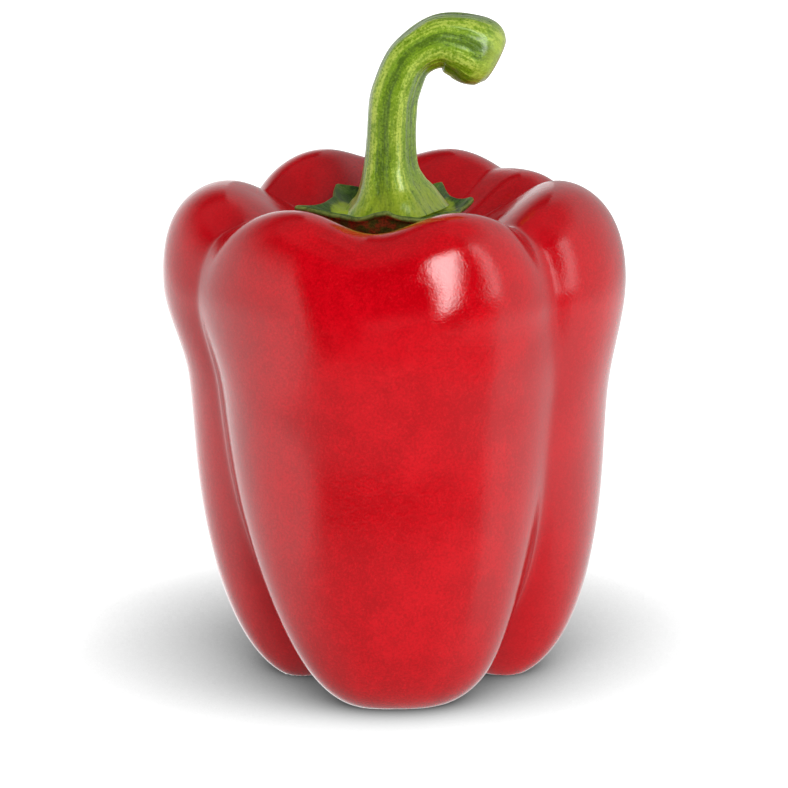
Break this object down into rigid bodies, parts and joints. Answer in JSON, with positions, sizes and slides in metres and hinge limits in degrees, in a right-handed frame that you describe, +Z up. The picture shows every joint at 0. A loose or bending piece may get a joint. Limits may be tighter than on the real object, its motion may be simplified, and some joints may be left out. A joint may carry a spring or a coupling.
{
  "type": "bell pepper",
  "caption": "Ripe red bell pepper standing on its blossom end: blocky lobed fruit with a star-shaped green calyx and a hooked stem.",
  "frame": {"origin": "on the resting plane, under the middle of the pepper's outline", "axes": "+Z up from the blossom end to the stem, the widest lobe towards -Y, the stem's hook towards +X"},
  "size_m": [0.0874, 0.0821, 0.1262],
  "materials": {
    "skin": "waxy glossy red skin, paler where it grazes the light",
    "calyx": "satin leafy green with a thin pale dry edge",
    "stem": "satin yellow-green, fibrous along its length"
  },
  "bodies": {
    "root": {"fruit": "skin", "calyx": "calyx", "stem": "stem"}
  },
  "joints": []
}
